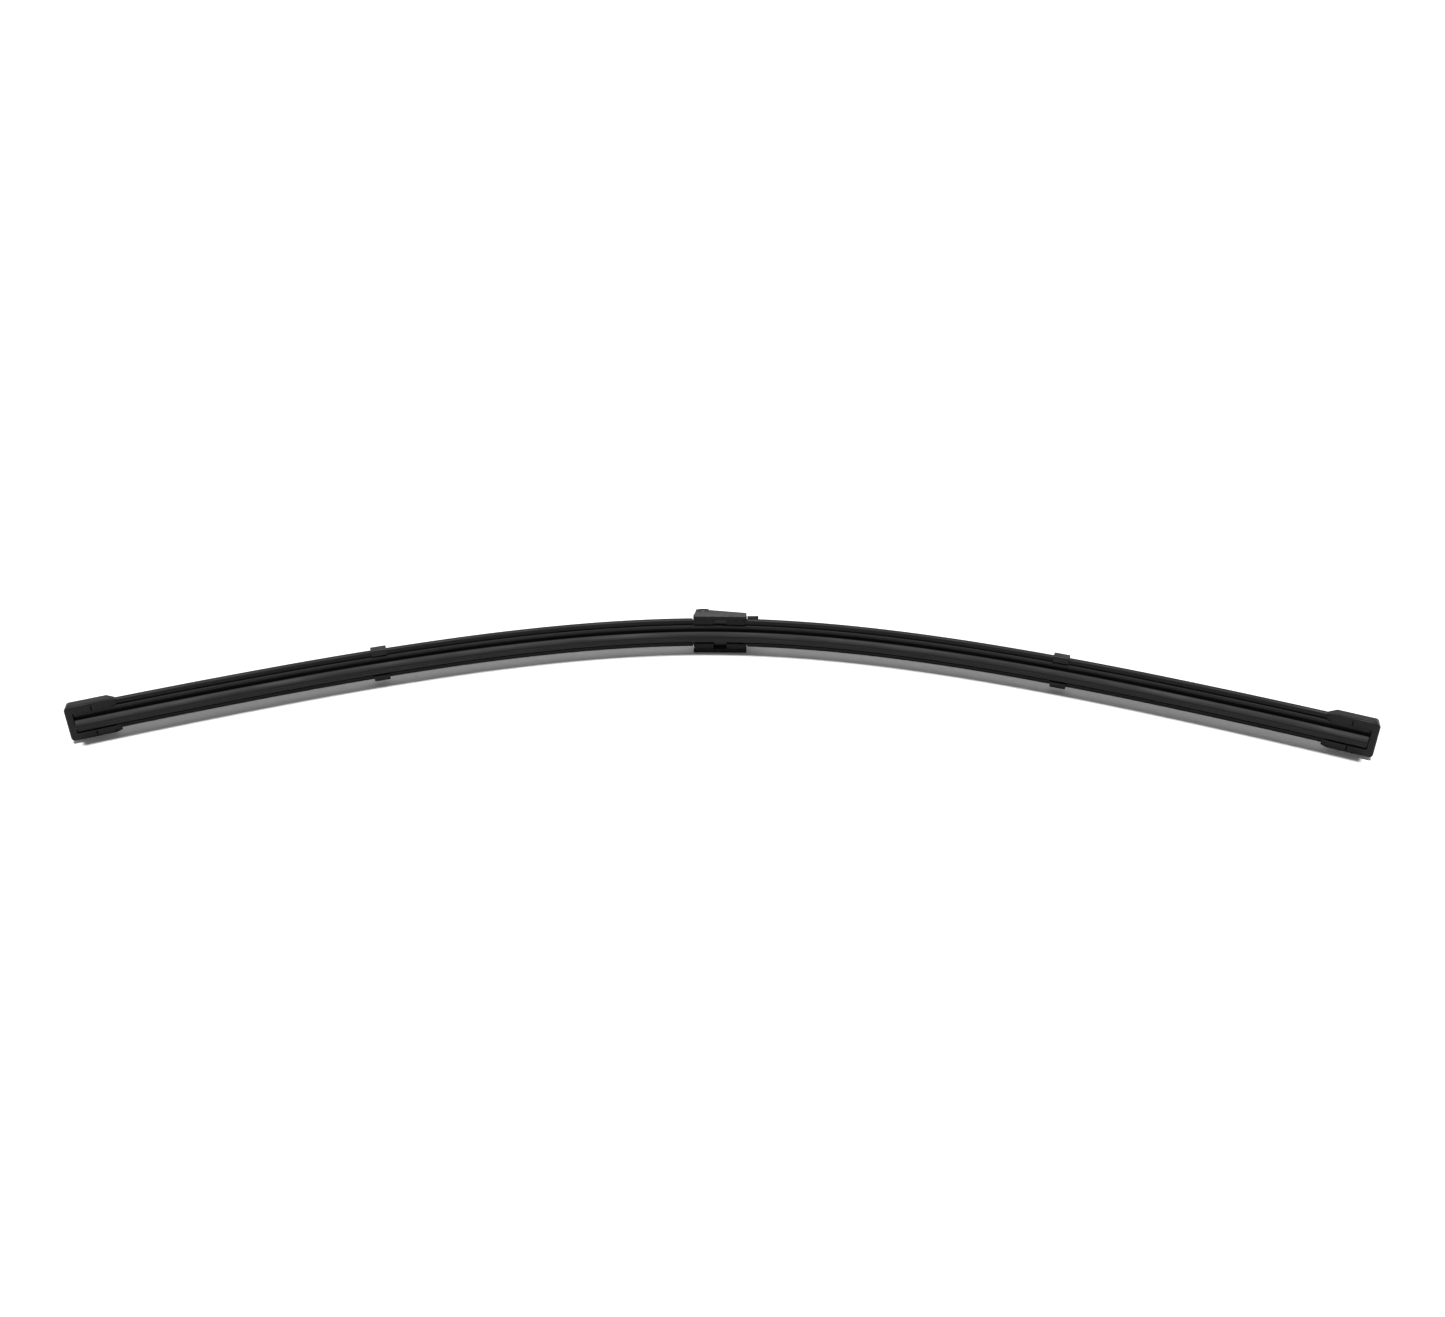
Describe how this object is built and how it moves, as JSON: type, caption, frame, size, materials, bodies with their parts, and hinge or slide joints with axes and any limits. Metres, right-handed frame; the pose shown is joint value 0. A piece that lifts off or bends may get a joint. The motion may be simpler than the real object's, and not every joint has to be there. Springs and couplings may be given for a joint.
{
  "type": "windshield wiper blade",
  "caption": "Flat beam windshield wiper blade: bowed spring rails in a rubber wiping profile, spoiler, end caps, and a pivoting arm adapter with a release latch.",
  "frame": {"origin": "centre of the bounding box's bottom face: on the surface that the blade lies on, level with the centre bracket's lower cheek", "axes": "+X along the blade (the arm enters from -X), +Y away from the glass towards the spoiler and adapter, +Z across the blade, up as it lies on its side"},
  "size_m": [0.5714, 0.108, 0.02],
  "materials": {
    "rubber": "matt black natural rubber, graphite-coated at the lip",
    "rail_steel": "black-coated spring steel strip, satin",
    "spoiler_base": "extruded black plastic, low satin",
    "spoiler_fin": "soft extruded black elastomer, matt",
    "clip_steel": "black-painted sheet steel, satin",
    "cap_plastic": "moulded black plastic, fine grain",
    "bracket_paint": "dark grey powder-coated pressed steel",
    "bush_plastic": "moulded black acetal, smooth",
    "pin_steel": "drawn steel pin",
    "adapter_plastic": "moulded glass-filled black plastic, fine grain",
    "latch_plastic": "moulded black plastic, smoother than the adapter"
  },
  "bodies": {
    "blade": {"wiper_rubber": "rubber", "rail_upper": "rail_steel", "rail_lower": "rail_steel", "spoiler_base_left": "spoiler_base", "spoiler_base_right": "spoiler_base", "spoiler_fin_left": "spoiler_fin", "spoiler_fin_right": "spoiler_fin", "rail_clip_left": "clip_steel", "rail_clip_right": "clip_steel", "rail_staple_left": "clip_steel", "rail_staple_right": "clip_steel", "end_cap_left": "cap_plastic", "end_cap_right": "cap_plastic", "centre_bracket": "bracket_paint", "pivot_bush_upper": "bush_plastic", "pivot_bush_lower": "bush_plastic", "pivot_pin": "pin_steel"},
    "adapter": {"adapter_body": "adapter_plastic", "latch_pin": "pin_steel"},
    "latch": {"release_latch": "latch_plastic"}
  },
  "joints": [
    {"name": "adapter_pivot", "type": "hinge", "parent": "blade", "child": "adapter", "pos_m": [-0.0083, 0.04576, 0.01], "axis": [0, 0, 1], "range_deg": [-5, 18]},
    {"name": "latch_hinge", "type": "hinge", "parent": "adapter", "child": "latch", "pos_m": [0.0064, 0.04986, 0.01], "axis": [0, 0, -1], "range_deg": [0, 7], "stiffness_Nm_per_rad": 0.05}
  ]
}
